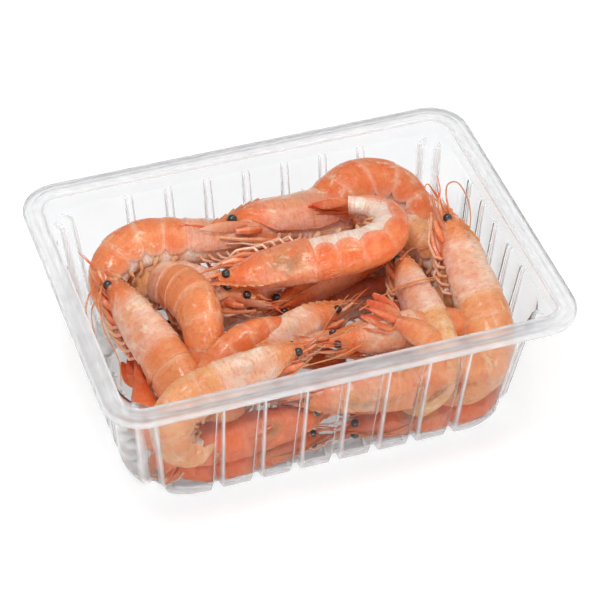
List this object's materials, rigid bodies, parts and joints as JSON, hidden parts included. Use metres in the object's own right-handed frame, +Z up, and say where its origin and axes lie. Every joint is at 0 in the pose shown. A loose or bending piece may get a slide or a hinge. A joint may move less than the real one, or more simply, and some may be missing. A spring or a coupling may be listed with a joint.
{
  "type": "tray of cooked prawns",
  "caption": "Clear ribbed plastic tray heaped with whole cooked prawns, heads and tails on, curled over one another up to the rim.",
  "frame": {"origin": "on the floor under the middle of the tray", "axes": "+X along a long side of the tray, +Y towards the other long side, +Z up"},
  "size_m": [0.19, 0.144, 0.0685],
  "materials": {
    "tray": "clear, glossy",
    "prawn": "wet shell, orange to pale pink"
  },
  "bodies": {
    "root": {"tray": "tray", "prawn_01": "prawn", "prawn_02": "prawn", "prawn_03": "prawn", "prawn_04": "prawn", "prawn_05": "prawn", "prawn_06": "prawn", "prawn_07": "prawn", "prawn_08": "prawn", "prawn_09": "prawn", "prawn_10": "prawn", "prawn_11": "prawn", "prawn_12": "prawn", "prawn_13": "prawn", "prawn_14": "prawn", "prawn_15": "prawn", "prawn_16": "prawn", "prawn_17": "prawn", "prawn_18": "prawn", "prawn_19": "prawn", "prawn_20": "prawn", "prawn_21": "prawn", "prawn_22": "prawn", "prawn_23": "prawn", "prawn_24": "prawn"}
  },
  "joints": []
}
